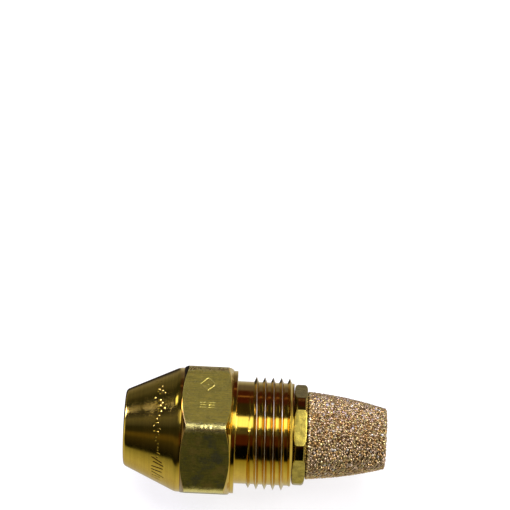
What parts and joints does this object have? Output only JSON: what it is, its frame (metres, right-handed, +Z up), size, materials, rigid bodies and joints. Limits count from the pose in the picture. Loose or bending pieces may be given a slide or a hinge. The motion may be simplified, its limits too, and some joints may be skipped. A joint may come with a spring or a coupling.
{
  "type": "oil burner nozzle",
  "caption": "Brass oil burner nozzle: spray cone, hexagon, fine mounting thread, and a sintered bronze filter cup screwed in behind.",
  "frame": {"origin": "on the ground, below the middle of the nozzle's bounding box, with the nozzle lying on one flat of its hexagon", "axes": "+X along the spray axis from the spray cone to the filter, +Z up through a hexagon flat, +Y through a hexagon corner"},
  "size_m": [0.0332, 0.0184, 0.0159],
  "materials": {
    "body_brass": "turned, bright, with fine tool lines",
    "adapter_brass": "turned, bright",
    "screw_brass": "turned",
    "stainless_steel": "ground and lapped",
    "sintered_bronze": "porous, made of fused bronze beads"
  },
  "bodies": {
    "root": {"nozzle_body": "body_brass", "orifice_disc": "stainless_steel"},
    "filter": {"filter_cup": "sintered_bronze"},
    "adapter": {"filter_adapter": "adapter_brass"},
    "distributor": {"distributor": "stainless_steel"},
    "lock_screw": {"lock_screw": "screw_brass"}
  },
  "joints": [
    {"name": "filter_travel", "type": "slide", "parent": "root", "child": "filter", "axis": [1, 0, 0], "range_m": [0, 0.005]},
    {"name": "filter_unscrew", "type": "hinge", "parent": "filter", "child": "adapter", "pos_m": [0, 0, 0.00794], "axis": [1, 0, 0], "range_deg": [0, 1800]},
    {"name": "distributor_travel", "type": "slide", "parent": "root", "child": "distributor", "axis": [1, 0, 0], "range_m": [0, 0.004]},
    {"name": "lock_screw_unscrew", "type": "hinge", "parent": "distributor", "child": "lock_screw", "pos_m": [0, 0, 0.00794], "axis": [1, 0, 0], "range_deg": [0, 1440]}
  ],
  "couplings": [
    {"joint": "filter_unscrew", "follows": "filter_travel", "rad_per_m": 6283.2},
    {"joint": "lock_screw_unscrew", "follows": "distributor_travel", "rad_per_m": 6283.2}
  ]
}
